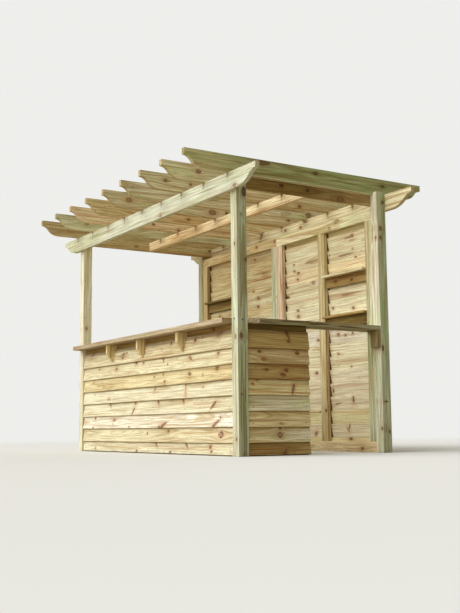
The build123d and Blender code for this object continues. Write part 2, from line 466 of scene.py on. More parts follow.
    def chance_knots(self, graph: Graph, given: dict[str, Wire], free: Wire) -> tuple[Wire, ...]:
        """Scatter knots over the boards.

        Args:
            graph: The pine group's graph.
            given: The group's inputs.
            free: Grain coordinates moved by the seed.

        Returns:
            The bent coordinates, the cores, their colour and the halos.
        """
        x, y, _ = free.parts()
        long, wide = self.KNOT_CELL
        least, more = self.KNOT_RADIUS
        spot = graph.combine(x / long, y / wide, 0.0)
        cell = graph.spread("ShaderNodeTexVoronoi", {"Vector": spot, "Scale": 1.0}, voronoi_dimensions="2D")
        choice, size, depth = cell["Color"].parts()
        there = choice.math("LESS_THAN", given["Scatter"])
        radius = (size * more + least) * there
        middle_x, middle_y, _ = cell["Position"].parts()
        moved = free * (1.0, 1.0, 0.0)
        bend = graph.spread("ShaderNodeGroup", {
            "Vector": moved,
            "Across": (0, 1, 0),
            "Spot": graph.combine(middle_x * long, middle_y * wide, radius),
            "Long": self.ROUND,
            "Turn": graph.combine(1.0, 0.0, depth.span(0.0, 1.0, (0.45, 1.0)) * there),
            "Red": depth * 0.5,
            "Core": given["Core"],
            "Tint": given["Tint"],
            "Halo": given["Halo"],
        }, node_tree=self.knot)
        return given["Vector"] + (bend["Vector"] - moved), bend["Core"], bend["Tint"], bend["Halo"]

    def growth(self, graph: Graph, vector: Wire, free: Wire, seed: Wire) -> tuple[Wire, ...]:
        """Draw growth rings about a pith line that wanders outside the timber.

        Args:
            graph: The pine group's graph.
            vector: Bent grain coordinates.
            free: Grain coordinates moved by the seed.
            seed: The group's seed.

        Returns:
            The fine rings, the bands they gather in and the broad bands.
        """
        slow = free.wander((0.8, 3.0, 3.0), (0.0, 0.075, 0.06))
        quick = free.wander((2.8, 10.0, 10.0), (0.0, 0.011, 0.011))
        x, y, z = (vector + slow + quick).parts()
        first = (seed * 0.618).math("FRACT")
        second = (seed * 0.377).math("FRACT")
        spread, deeper, depth = self.PITH
        flat = graph.combine(y - (first - 0.5) * spread, z - (second * -deeper - depth), 0.0)
        radius = flat.math("LENGTH") + x * self.DRIFT
        turn = (radius / self.RING).math("FRACT")
        rings = turn.span(0.3, 0.85) * turn.span(1.0, 0.9)
        sheet = graph.combine(radius, x, seed)
        return rings, self.BANDS.draw(sheet), self.BROAD_BANDS.draw(sheet)


SHADER = PineShader()


class Trail:
    """Grain coordinates on their way past the knots, with what the knots have marked so far."""

    def __init__(self, start: Wire) -> None:
        """Start on plain coordinates."""
        self.graph = start.graph
        self.marks: dict[str, object] = {"Vector": start, "Core": 0.0, "Tint": 0.0, "Halo": 0.0}

    def pass_knot(self, inputs: dict) -> None:
        """Bend the coordinates round one more knot."""
        self.marks = self.graph.spread("ShaderNodeGroup", {**inputs, **self.marks}, node_tree=SHADER.knot)

    def finish(self, inputs: dict) -> None:
        """End the material with the pine group and a matt shader.

        Args:
            inputs: The pine group's other inputs.
        """
        graph = self.graph
        pine = graph.spread("ShaderNodeGroup", {**inputs, **self.marks}, node_tree=SHADER.pine)
        relief = graph.wire("ShaderNodeBump", 0, {"Height": pine["Height"], "Strength": 0.35, "Distance": 0.0006})
        shell = graph.wire("ShaderNodeBsdfPrincipled", 0, {
            "Base Color": pine["Color"], "Roughness": pine["Roughness"], "Normal": relief,
            "Specular IOR Level": 0.28,
        })
        graph.add("ShaderNodeOutputMaterial", {"Surface": shell})


@dataclass(frozen=True)
class Pine:
    """Sawn pine of one tone, with its stains and the knots that stand out.

    Attributes:
        tone: Colour of the plain wood.
        knots: The knots that are placed one by one.
        warm: How much heartwood and pitch shows.
        green: How much of the treatment's green shows.
        contrast: How strongly the rings show.
        scatter: How many more knots are scattered, from 0 to 1.
        seed: Which part of the pattern the timber is cut from.
        under: Tone of the underside and its lowest arris, where it differs: painted light and shade for how lit they
            are from below.
        side: Tone of the face that looks along +X, where it differs: its darker part is painted shade, its greener
            part a stain.
        far: Tone it fades to at its high end, where it differs: painted light and shade, partly weathering.
        fade: Where along the grain the far tone starts and is full, in row coordinates.
        back: Tone of a loose board's outer face, where it differs.
    """

    tone: Tone = Tone.CREAM
    knots: tuple[Knot, ...] = ()
    warm: float = 0.3
    green: float = 0.2
    contrast: float = 1.0
    scatter: float = 0.16
    seed: float = 1.0
    under: Tone | None = None
    side: Tone | None = None
    far: Tone | None = None
    fade: tuple[float, float] = (0.0, 1.0)
    back: Tone | None = None

    def dress(self, timber: bpy.types.Object, grain: Grain) -> None:
        """Give a packed timber this finish.

        Args:
            timber: The timber.
            grain: How the row axes lie in it.
        """
        graph = new_material(timber, f"pine_{timber.name}")
        place = graph.place()
        low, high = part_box(timber.name)
        centre = (low + high) / 2
        parts = (place - centre).parts()
        trail = Trail(graph.combine(*(parts[axis] for axis in grain.value)))
        along, across, through = grain.value
        for knot in self.knots:
            side = through if knot.edge else across
            trail.pass_knot({
                "Across": (0, 0, 1) if knot.edge else (0, 1, 0),
                "Spot": (knot.along - centre[along], knot.across - centre[side], knot.radius),
                "Long": knot.long,
                "Turn": (*knot.aim(), knot.dark),
                "Red": knot.red,
            })
        normal = graph.wire("ShaderNodeNewGeometry", "True Normal").parts()
        end = normal[along].math("ABSOLUTE").math("GREATER_THAN", 0.8)
        tone: object = self.tone.linear()
        # Painted light and shade, partly weathering: the tone fades to the far tone along the grain.
        if self.far:
            tone = graph.blend(place.parts()[along].span(*self.fade), tone, self.far.linear())
        # Painted shade: the face that looks along +X takes the side tone, darker, and greener from the stain.
        if self.side:
            tone = graph.blend(normal[0].math("GREATER_THAN", 0.5), tone, self.side.linear())
        # Painted light and shade: the underside and the timber's lowest 5 mm take the under tone, for how lit they
        # are from below.
        if self.under:
            arris = place.parts()[2].math("LESS_THAN", low.z + 0.005)
            tone = graph.blend(normal[2].math("LESS_THAN", -0.5).math("MAXIMUM", arris), tone, self.under.linear())
        trail.finish({
            "Place": place, "Tone": tone, "Seed": self.seed, "End": end, "Scatter": self.scatter,
            "Warm": self.warm, "Green": self.green, "Contrast": self.contrast,
        })


def new_material(piece: bpy.types.Object, name: str) -> Graph:
    """Give a piece one new and empty material.

    Args:
        piece: The piece.
        name: The material's name.

    Returns:
        The graph of the material's nodes.
    """
    material = bpy.data.materials.new(name)
    material.use_nodes = True
    material.node_tree.nodes.clear()
    piece.data.materials.clear()
    piece.data.materials.append(material)
    return Graph(material.node_tree)


@dataclass(frozen=True)
class LapShade:
    """Shade where lapped boards meet, in a board's own axes, where zero is its inner face and its middle.

    Each pair says where a shade starts and where it is full.

    Attributes:
        outer: How dark the line under the board above is, which lies at under on the outside.
        inner: How dark the line at the edge of the inside is.
        behind: How dark the narrow gap between a board and a stud is.
        stud: The gap's shade, from the stud's middle.
        wedge: Across the board, where the gap is narrowest and where it is wider by widening.
    """

    outer: float = 0.46
    inner: float = 0.45
    behind: float = 0.85
    under: tuple[float, float] = (0.036, 0.0485)
    edge: tuple[float, float] = (-0.042, -0.049)
    outside: tuple[float, float] = (0.004, 0.008)
    inside: tuple[float, float] = (0.006, 0.002)
    stud: tuple[float, float] = (0.047, 0.044)
    wedge: tuple[float, float] = (0.065, -0.050)
    widening: float = 0.004

    def draw(self, own: Wire, place: Wire, studs: Sequence[float]) -> Wire:
        """Draw the shade.

        Args:
            own: Coordinates in the board's own axes.
            place: Row coordinates.
            studs: Middles of the studs behind the boards, along the row's X axis.

        Returns:
            How dark each spot is, from 0 to 1.
        """
        _, across, through = own.parts()
        outer = through.span(*self.outside) * across.span(*self.under)
        inside = through.span(*self.inside)
        inner = inside * across.span(*self.edge)
        shade = outer * self.outer + inner * self.inner
        for stud in studs:
            aside = (place.parts()[0] - stud).math("ABSOLUTE")
            gap = aside + across.span(*self.wedge, (0.0, -self.widening))
            shade = shade.math("MAXIMUM", gap.span(*self.stud) * inside * self.behind)
        return shade


def dress_boards(piece: bpy.types.Object, slots: int, lapped: bool, studs: Sequence[float] = ()) -> None:
    """Give joined boards a material that reads each board's own attributes.

    Args:
        piece: The joined boards.
        slots: How many knots a board may carry.
        lapped: True where each board lies over the next one.
        studs: Middles of the studs behind the boards, along the row's X axis.
    """
    graph = new_material(piece, f"pine_{piece.name}")
    place = graph.place()

    def read(name: str) -> dict[str, Wire]:
        """Read one of the boards' own attributes."""
        return graph.spread("ShaderNodeAttribute", attribute_name=name)

    own = read("grain")["Vector"]
    trail = Trail(own)
    for number in range(slots):
        spot, turn = read(f"knot_{number}"), read(f"turn_{number}")
        trail.pass_knot({
            "Across": (0, 1, 0), "Spot": spot["Vector"], "Long": spot["Alpha"],
            "Turn": turn["Vector"], "Red": turn["Alpha"],
        })
    lap = LapShade().draw(own, place, studs) if lapped else 0.0
    look = read("look")
    warm, green, contrast = look["Vector"].parts()
    trail.finish({
        "Place": place, "Tone": read("tone")["Color"], "Seed": read("seed")["Fac"], "End": read("end")["Fac"],
        "Lap": lap, "Scatter": look["Alpha"], "Warm": warm, "Green": green, "Contrast": contrast,
    })


@dataclass
class Sticks:
    """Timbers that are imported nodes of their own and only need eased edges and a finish.

    Attributes:
        weld: How near two corners of the loose triangles are to be one.
        sharp: The least angle of an arris that is eased, in degrees.
    """

    grain: Grain
    finishes: dict[str, Pine]
    ease: float = 0.0022
    weld: float = 0.00002
    sharp: float = 35.0

    def build(self) -> None:
        """Ease and dress each timber."""
        for node, pine in self.finishes.items():
            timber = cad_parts[node]
            self.soften(timber)
            pine.dress(timber, self.grain)
            log.info("dressed %s", node)

    def soften(self, timber: bpy.types.Object) -> None:
        """Round a timber's arrises with live modifiers."""
        timber.modifiers.new("weld", "WELD").merge_threshold = self.weld
        edge = timber.modifiers.new("eased", "BEVEL")
        edge.width = self.ease
        edge.segments = 2
        edge.limit_method = "ANGLE"
        edge.angle_limit = math.radians(self.sharp)


@dataclass
class Board:
    """One loose board, modelled along its own axes and then put in its place.

    Attributes:
        size: Its length, width and thickness.
        offset: Its middle, in its own axes.
        place: Turns its own axes into the row's.
        seed: Which part of the pattern it is cut from.
        axes: The row axes along its grain and across its face.
        slots: How many knots it has room for.
    """

    size: Triple
    offset: Triple
    place: Matrix
    pine: Pine
    seed: float
    axes: tuple[int, int]
    slots: int
    ease: float = 0.0018

    def build(self) -> bpy.types.Object:
        """Model the board and set its own attributes.

        Returns:
            The board, with its place in its mesh.
        """
        bpy.ops.object.select_all(action="DESELECT")
        bpy.ops.mesh.primitive_cube_add(size=1.0, location=self.offset, scale=self.size)
        board = bpy.context.active_object
        bpy.ops.object.transform_apply(location=True, rotation=False, scale=True)
        bpy.ops.object.mode_set(mode="EDIT")
        bpy.ops.mesh.select_all(action="SELECT")
        bpy.ops.mesh.bevel(offset=self.ease, segments=2, affect="EDGES")
        bpy.ops.object.mode_set(mode="OBJECT")
        self.mark(board.data)
        board.data.transform(self.place)
        return board

    def mark(self, mesh: bpy.types.Mesh) -> None:
        """Write what the boards' material reads, all attributes made before any is written.

        Args:
            mesh: The board's mesh, still in its own axes.
        """
        pine, count = self.pine, len(mesh.vertices)
        tones = []
        for vertex in mesh.vertices:
            # The far tone, partly painted light and shade, takes the board's high half.
            tone = pine.far if pine.far and vertex.co.x > 0 else pine.tone
            tones += (pine.back if pine.back and vertex.co.z > self.size[2] / 2 else tone).linear()
        colours = {"tone": tones, "look": (pine.warm, pine.green, pine.contrast, pine.scatter) * count}
        for number in range(self.slots):
            spot, turn = self.knot(number)
            colours |= {f"knot_{number}": spot * count, f"turn_{number}": turn * count}
        layers = {
            "grain": ("FLOAT_VECTOR", "POINT", "vector", [value for vertex in mesh.vertices for value in vertex.co]),
            "seed": ("FLOAT", "POINT", "value", [self.seed] * count),
            "end": ("FLOAT", "FACE", "value", [float(abs(face.normal.x) > 0.9) for face in mesh.polygons]),
        }
        layers |= {name: ("FLOAT_COLOR", "POINT", "color", colour) for name, colour in colours.items()}
        for name, (kind, domain, _, _) in layers.items():
            mesh.attributes.new(name, kind, domain)
        for name, (_, _, part, values) in layers.items():
            mesh.attributes[name].data.foreach_set(part, values)

    def knot(self, number: int) -> tuple[tuple[float, ...], tuple[float, ...]]:
        """Give one knot in the board's own axes.

        Args:
            number: Which of the board's knots.

        Returns:
            Its place, radius and length over width, and its turn, strength and colour. A slot with
            no knot is far outside the board.
        """
        if number >= len(self.pine.knots):
            return (9.0, 9.0, 0.001, PineShader.ROUND), (1.0, 0.0, 0.0, 0.0)
        knot = self.pine.knots[number]
        along, across = self.axes
        spot = self.place.translation.copy()
        spot[along], spot[across] = knot.along, knot.across
        aim = Vector((0, 0, 0))
        aim[along], aim[across] = knot.aim()
        inverse = self.place.inverted()
        spot = inverse @ spot
        aim = inverse.to_3x3() @ aim
        turn = math.atan2(aim.y, aim.x)
        return (spot.x, spot.y, knot.radius, knot.long), (math.cos(turn), math.sin(turn), knot.dark, knot.red)


def join(name: str, parts: list[bpy.types.Object], slot: str, *nodes: str) -> bpy.types.Object:
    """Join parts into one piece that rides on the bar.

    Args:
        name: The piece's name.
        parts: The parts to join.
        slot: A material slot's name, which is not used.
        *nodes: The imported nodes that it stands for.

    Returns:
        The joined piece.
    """
    bpy.ops.object.select_all(action="DESELECT")
    for part in parts:
        part.select_set(True)
    bpy.context.view_layer.objects.active = parts[0]
    bpy.ops.object.join()
    piece = bpy.context.view_layer.objects.active
    piece.name = piece.data.name = name
    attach(piece, BODY)
    if nodes:
        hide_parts(*nodes)
    return piece


@dataclass(frozen=True)
class Steel:
    """Matt steel of the fasteners, with stained spots that change pace times a metre."""

    name: str
    colour: Colour
    stained: Colour
    roughness: float = 0.55
    metallic: float = 0.7
    pace: float = 420.0

    def dress(self, piece: bpy.types.Object) -> None:
        """Give the fasteners this finish."""
        graph = new_material(piece, f"{self.name}_{piece.name}")
        stain = graph.place().noise((self.pace,) * 3).span(0.40, 0.62)
        shell = graph.wire("ShaderNodeBsdfPrincipled", 0, {
            "Base Color": graph.blend(stain, self.colour, self.stained),
            "Metallic": self.metallic, "Roughness": self.roughness,
        })
        graph.add("ShaderNodeOutputMaterial", {"Surface": shell})


GALVANISED = Steel("galvanised", (0.30, 0.29, 0.26, 1), (0.15, 0.13, 0.10, 1))
BLACKENED = Steel("blackened", (0.045, 0.038, 0.032, 1), (0.09, 0.06, 0.04, 1), 0.5)


@dataclass
class Fasteners:
    """Round heads of one kind.

    Attributes:
        slot: The material slot of what they hold.
        places: Where each head sits, with its own +Z out of the wood.
        recess: Radius of the driver's recess, or zero for a nail.
        sunk: How far a head reaches into the wood.
        slope: Width of a head's sloping rim over its radius.
    """

    name: str
    slot: str
    places: list[Matrix]
    radius: float = 0.0042
    proud: float = 0.0009
    recess: float = 0.0
    steel: Steel = GALVANISED
    sunk: float = 0.0012
    slope: float = 0.22

    def build(self) -> None:
        """Model one head, copy it to its places, join the copies and dress them."""
        head = self.model()
        parts = []
        for place in self.places:
            copy = bpy.data.objects.new(self.name, head.data.copy())
            copy.data.transform(place)
            bpy.context.scene.collection.objects.link(copy)
            parts.append(copy)
        bpy.data.objects.remove(head)
        self.steel.dress(join(self.name, parts, self.slot))
        log.info("built %d heads of %s", len(self.places), self.name)

    def model(self) -> bpy.types.Object:
        """Model one head about the origin.

        Returns:
            The head.
        """
        depth = self.proud + self.sunk
        middle = (0, 0, self.proud - depth / 2)
        bpy.ops.object.select_all(action="DESELECT")
        bpy.ops.mesh.primitive_cylinder_add(vertices=12, radius=self.radius, depth=depth, location=middle)
        head = bpy.context.active_object
        bpy.ops.object.transform_apply(location=True, rotation=False, scale=False)
        bpy.ops.object.mode_set(mode="EDIT")
        bpy.ops.mesh.select_mode(type="FACE")
        bpy.ops.mesh.select_all(action="DESELECT")
        bpy.ops.object.mode_set(mode="OBJECT")
        for face in head.data.polygons:
            face.select = face.normal.z > 0.9
        bpy.ops.object.mode_set(mode="EDIT")
        bpy.ops.mesh.inset(thickness=self.radius * self.slope)
        bpy.ops.transform.translate(value=(0, 0, self.proud * 0.25))
        if self.recess:
            bpy.ops.mesh.inset(thickness=self.radius * (1 - self.slope) - self.recess)
            bpy.ops.mesh.inset(thickness=self.recess * 0.2)
            bpy.ops.transform.translate(value=(0, 0, -self.proud * 0.9))
        bpy.ops.object.mode_set(mode="OBJECT")
        return head


@dataclass
class Siding:
    """Lapped boards on one panel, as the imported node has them.

    Attributes:
        panel: The panel's name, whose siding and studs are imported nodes.
        boards: Each board's finish, from the top down.
        seed: Seed of the boards' small differences.
        lap: Clearance between a board and the one it lies over.
        slide: How far a board may lie from its exact height.
        short: How much shorter than the panel a board may be.
    """

    panel: str
    boards: list[Pine]
    faces: Vector
    seed: int = 1
    wide: float = 0.140
    thick: float = 0.019
    exposure: float = 0.1194
    lap: float = 0.0004
    slide: float = 0.0016
    short: float = 0.002
    nail_height: float = 0.030
    nail_drift: float = 0.008

    def build(self) -> None:
        """Model, join and dress the boards, and nail them to the studs."""
        chance = random.Random(self.seed)
        node = f"{self.panel}_siding"
        low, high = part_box(node)
        angle = math.atan((self.thick + self.lap) / self.exposure)
        along = Vector((0, 0, 1)).cross(self.faces)
        axis = 0 if abs(along.x) > 0.5 else 1
        out = 1 - axis
        studs = [(start[axis] + stop[axis]) / 2 for start, stop in solid_boxes(f"{self.panel}_studs")]
        down = Vector((0, 0, -math.cos(angle))) + self.faces * math.sin(angle)
        turn = Matrix((along, -down, along.cross(-down))).transposed().to_4x4()
        slots = max(len(pine.knots) for pine in self.boards)
        upper = high.z - self.thick * math.sin(angle)
        boards, nails = [], []
        for number, pine in enumerate(self.boards):
            wide = min(self.wide, (upper - low.z) / math.cos(angle))
            slip = 0.0 if wide < self.wide or not number else chance.uniform(-self.slide, self.slide)
            corner = Vector((0, 0, upper))
            corner[axis] = (high[axis] + low[axis]) / 2
            corner[out] = low[out] if self.faces[out] > 0 else high[out]
            corner += down * (self.wide / 2 + slip)
            place = Matrix.Translation(corner) @ turn
            size = (high[axis] - low[axis] - chance.uniform(0, self.short), wide, self.thick)
            offset = (0, (self.wide - wide) / 2, self.thick / 2)
            boards.append(Board(size, offset, place, pine, chance.uniform(*SEEDS), (axis, 2), slots).build())
            for stud in studs:
                drift = chance.uniform(-self.nail_drift, self.nail_drift)
                side = along[axis] * (stud + drift - corner[axis])
                spot = Vector((side, self.wide / 2 - wide + self.nail_height, self.thick))
                nails.append(place @ Matrix.Translation(spot))
            upper -= self.exposure
        piece = join(f"boards_{node}", boards, "siding", node)
        dress_boards(piece, slots, True, studs if axis == 0 and self.faces.y > 0 else ())
        log.info("built %d boards of %s", len(boards), node)
        Fasteners(f"nails_{self.panel}", "siding", nails).build()


@dataclass
class Frames:
    """Rails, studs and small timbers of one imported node, each a straight stick.

    Attributes:
        grain: How the row axes lie in the sticks.
        sticks: Each stick's finish, from the left, front and bottom up.
        seed: Seed of the sticks' small differences.
    """

    node: str
    grain: Grain
    sticks: list[Pine]
    seed: int
    slot: str = "frames"

    def build(self) -> None:
        """Model, join and dress the sticks."""
        chance = random.Random(self.seed)
        slots = max(len(pine.knots) for pine in self.sticks)
        axes = [Vector([float(k == axis) for k in range(3)]) for axis in self.grain.value]
        if axes[0].cross(axes[1]).dot(axes[2]) < 0:
            axes[2] = -axes[2]
        turn = Matrix(axes).transposed().to_4x4()
        boards = []
        for (low, high), pine in zip(solid_boxes(self.node), self.sticks, strict=True):
            size = tuple((high - low)[axis] for axis in self.grain.value)
            place = Matrix.Translation((low + high) / 2) @ turn
            seed = chance.uniform(*SEEDS)
            boards.append(Board(size, (0, 0, 0), place, pine, seed, self.grain.value[:2], slots).build())
        dress_boards(join(f"sticks_{self.node}", boards, self.slot, self.node), slots, False)
        log.info("built %d sticks of %s", len(boards), self.node)


def solid_boxes(node: str) -> list[tuple[Vector, Vector]]:
    """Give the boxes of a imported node's separate solids, from the left, front and bottom up.

    Args:
        node: The node's name.

    Returns:
        Lowest and highest corner of each solid.
    """
    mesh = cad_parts[node].data
    spots = [tuple(round(value, 5) for value in vertex.co) for vertex in mesh.vertices]
    group = {spot: spot for spot in spots}

    def root(spot: tuple) -> tuple:
        """Follow a spot to the first of its group."""
        while group[spot] != spot:
            group[spot] = group[group[spot]]
            spot = group[spot]
        return spot

    for face in mesh.polygons:
        first = root(spots[face.vertices[0]])
        for corner in face.vertices[1:]:
            group[root(spots[corner])] = first
    solids: dict[tuple, list] = {}
    for spot in spots:
        solids.setdefault(root(spot), []).append(spot)
    boxes = [(Vector([min(side) for side in zip(*solid)]), Vector([max(side) for side in zip(*solid)]))
             for solid in solids.values()]
    return sorted(boxes, key=lambda box: tuple(round(value, 3) for value in box[0]))


@dataclass
class Studio:
    """Plain pale floor and backdrop, soft light and the photograph's camera.

    Attributes:
        eye: Where the camera stands, turned by yaw, pitch and roll in radians.
        focal_px: Its focal length in the photograph's pixels, of which frame_px lie along the longer side.
        pale: Colour of the backdrop, to which the floor fades over the distances in fade.
        floor_bounce: Colour of the light that the floor gives back.
    """

    eye: Triple = (7.5453, -4.5703, 0.2058)
    yaw: float = 1.01520749
    pitch: float = 0.127048
    roll: float = -0.009697
    focal_px: float = 957.72
    frame_px: float = 613.0
    sensor: float = 36.0
    floor_radius: float = 60.0
    pale: Colour = (0.86, 0.86, 0.84, 1.0)
    floor_shown: Colour = (0.74, 0.74, 0.72, 1.0)
    floor_bounce: Colour = (0.40, 0.35, 0.26, 1.0)
    fade: tuple[float, float] = (5.0, 14.0)

    def build(self) -> None:
        """Make the camera, the lamps, the world and the floor."""
        self.make_camera()
        self.make_lamp("front", 0.66, 70, (-0.30, -1.0, 0.22))
        self.make_lamp("sky", 2.4, 66, (-0.28, -1.0, 1.15))
        self.make_lamp("side", 0.75, 60, (0.40, -1.0, 0.35))
        self.make_lamp("rear", 0.7, 70, (-0.3, 1.0, 0.6))
        self.make_world()
        self.make_floor()
        bpy.context.scene.view_settings.view_transform = "Standard"
        log.info("lit the studio")

    def make_camera(self) -> None:
        """Place the camera where the photograph was taken."""
        data = bpy.data.cameras.new("camera")
        camera = bpy.data.objects.new("camera", data)
        bpy.context.scene.collection.objects.link(camera)
        level = Vector((math.cos(self.yaw), math.sin(self.yaw), 0))
        ahead = math.cos(self.pitch)
        forward = Vector((-math.sin(self.yaw) * ahead, math.cos(self.yaw) * ahead, math.sin(self.pitch)))
        above = level.cross(forward)
        right = math.cos(self.roll) * level + math.sin(self.roll) * above
        up = -math.sin(self.roll) * level + math.cos(self.roll) * above
        turn = Matrix((right, up, -forward)).transposed().to_4x4()
        camera.matrix_world = Matrix.Translation(self.eye) @ turn
        data.sensor_width = self.sensor
        data.lens = self.focal_px / self.frame_px * self.sensor
        data.clip_end = 200.0
        bpy.context.scene.camera = camera

    def make_lamp(self, name: str, strength: float, width: float, source: Triple) -> None:
        """Add a broad distant lamp.

        Args:
            name: The lamp's name.
            strength: Its light in watts a square metre.
            width: Its width in degrees.
            source: The direction that it shines from.
        """
        data = bpy.data.lights.new(name, "SUN")
        data.energy = strength
        data.angle = math.radians(width)
        lamp = bpy.data.objects.new(name, data)
        lamp.rotation_euler = Vector(source).to_track_quat("Z", "Y").to_euler()
        bpy.context.scene.collection.objects.link(lamp)

    def make_world(self) -> None:
        """Light the shade evenly and show a pale backdrop to the camera."""
        world = bpy.data.worlds.new("studio")
        world.use_nodes = True
        world.node_tree.nodes.clear()
        graph = Graph(world.node_tree)
        fill = graph.wire("ShaderNodeBackground", 0, {"Color": (1.0, 0.94, 0.74, 1), "Strength": 0.28})
        shown = graph.wire("ShaderNodeBackground", 0, {"Color": self.pale, "Strength": 1.0})
        path = graph.spread("ShaderNodeLightPath")
        seen = path["Is Camera Ray"].math("MAXIMUM", path["Is Glossy Ray"])
        seen = seen.math("MAXIMUM", path["Is Transmission Ray"])
        mixed = graph.wire("ShaderNodeMixShader", 0, {0: seen, 1: fill, 2: shown})
        graph.add("ShaderNodeOutputWorld", {"Surface": mixed})
        bpy.context.scene.world = world

    def make_floor(self) -> None:
        """Lay a pale floor that fades into the backdrop and gives back little light."""
        bpy.ops.object.select_all(action="DESELECT")
        bpy.ops.mesh.primitive_circle_add(vertices=96, radius=self.floor_radius, fill_type="NGON")
        floor = bpy.context.active_object
        floor.name = "floor"
        graph = new_material(floor, "pale_floor")
        far = graph.place().math("LENGTH").span(*self.fade)
        camera = graph.wire("ShaderNodeLightPath", "Is Camera Ray")
        shade = graph.blend(camera, self.floor_bounce, self.floor_shown)
        matt = graph.wire("ShaderNodeBsdfDiffuse", 0, {"Color": shade})
        glow = graph.wire("ShaderNodeEmission", 0, {"Color": self.pale})
        mixed = graph.wire("ShaderNodeMixShader", 0, {0: far * camera, 1: matt, 2: glow})
        graph.add("ShaderNodeOutputMaterial", {"Surface": mixed})


def painted_rafter_shadows(beam: str) -> tuple[Knot, ...]:
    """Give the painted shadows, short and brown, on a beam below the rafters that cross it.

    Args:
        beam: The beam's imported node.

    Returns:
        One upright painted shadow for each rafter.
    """
    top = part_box(beam)[1].z
    marks = []
    for number in range(1, 10):
        low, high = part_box(f"rafter_{number}")
        # Painted shadow under each rafter: a faint, long upright knot just below the beam's top.
        dark = 0.34 + 0.05 * (number % 3)
        marks.append(Knot((low.x + high.x) / 2, top - 0.020, 0.006, -90, 3.6, dark, 0.35))
    return tuple(marks)


def roof() -> list[Sticks]:
    """List the beams, plates and rafters with their finishes."""
    rafters = {
        "rafter_1": Pine(Tone.HONEY, warm=0.6, seed=3.7),
        "rafter_2": Pine(Tone.WILLOW, (Knot(-0.86, 2.235, 0.013, dark=0.6, red=0.5),), green=0.5, seed=7.4),
        "rafter_3": Pine(Tone.PEACH, (Knot(-0.028, 2.184), Knot(-0.309, 2.216)), warm=0.35, green=0.0, seed=11.1),
        "rafter_4": Pine(Tone.STRAW, (Knot(-0.12, 2.215, 0.008),), warm=0.45, green=0.0, seed=14.8),
        "rafter_5": Pine(Tone.SAND, (
            Knot(-0.066, 2.218, 0.02, long=1.6, dark=0.8, red=0.5), Knot(0.089, 2.226, 0.012), Knot(0.805, 2.236),
            Knot(-0.93, 2.235, 0.016, dark=0.7, red=0.5), Knot(-0.62, 2.185, 0.014, dark=0.8),
        ), green=0.6, seed=18.5, under=Tone.HONEY),
        "rafter_6": Pine(Tone.CREAM, (
            Knot(0.779, 2.211, 0.019, dark=0.75, red=0.4), Knot(0.52, 2.2, 0.02, 10, 2.5, 0.35, 0.1),
        ), green=0.7, seed=22.2, under=Tone.WHEAT),
        "rafter_7": Pine(Tone.SAND, (
            Knot(-0.714, 2.239, 0.008), Knot(-0.951, 2.243, 0.011, red=0.5), Knot(0.409, 2.181, 0.011),
        ), green=0.4, seed=25.9, under=Tone.HONEY),
        "rafter_8": Pine(Tone.IVORY, (
            Knot(-0.847, 2.246, 0.013, dark=0.85, red=0.4),
        ), green=0.5, seed=29.6, under=Tone.WHEAT),
        # Painted light and shade on rafter 9: a lit cream underside, and a front end lighter than the rest.
        "rafter_9": Pine(Tone.FERN, (
            Knot(-0.46, 2.279, 0.016, 3, 3.0, 0.9, 0.4), Knot(0.043, 2.263, 0.009, dark=0.95, red=0.2),
            Knot(0.754, 2.245, red=0.2),
        ), green=0.6, seed=33.3, scatter=0.0, under=Tone.CREAM, far=Tone.OLIVE, fade=(-1.0, -0.55)),
    }
    front = (Knot(1.539, 2.038, 0.014, dark=0.7, red=0.6), Knot(0.332, 2.043, dark=0.7, red=0.6))
    rear = (
        Knot(0.373, 2.146, 0.012), Knot(0.291, 2.103, 0.012), Knot(0.043, 2.119),
        Knot(-0.379, 2.135, 0.01, 50, 3.5, 0.8, 0.5),
    )
    return [
        Sticks(Grain.ALONG_Y, rafters),
        Sticks(Grain.ALONG_X, {
            "beam_front": Pine(
                Tone.SAGE, front + painted_rafter_shadows("beam_front"), 0.1, 0.3, 0.75, seed=11.0, scatter=0.1,
                far=Tone.MIST, fade=(-1.1, -0.7),
            ),
            "beam_middle": Pine(Tone.PEACH, painted_rafter_shadows("beam_middle"), seed=12.3, scatter=0.1),
            "beam_rear": Pine(
                Tone.ASH, rear + painted_rafter_shadows("beam_rear"), warm=0.4, seed=13.9, scatter=0.1, far=Tone.SAND,
                fade=(-1.5, 0.9),
            ),
        }),
        Sticks(Grain.ALONG_Y, {
            "side_plate_left": Pine(Tone.HONEY, (Knot(0.711, 2.142),), seed=14.2),
            "side_plate_right": Pine(Tone.OCHRE, (
                Knot(-0.269, 2.132, 0.013, dark=0.95, red=0.15), Knot(-0.012, 2.123, dark=1.0, red=0.05),
                Knot(0.327, 2.089, 0.02, dark=0.6, red=0.4),
            ), warm=0.2, green=0.3, seed=15.5, scatter=0.0, far=Tone.HONEY, fade=(-0.1, 0.75)),
        }),
    ]


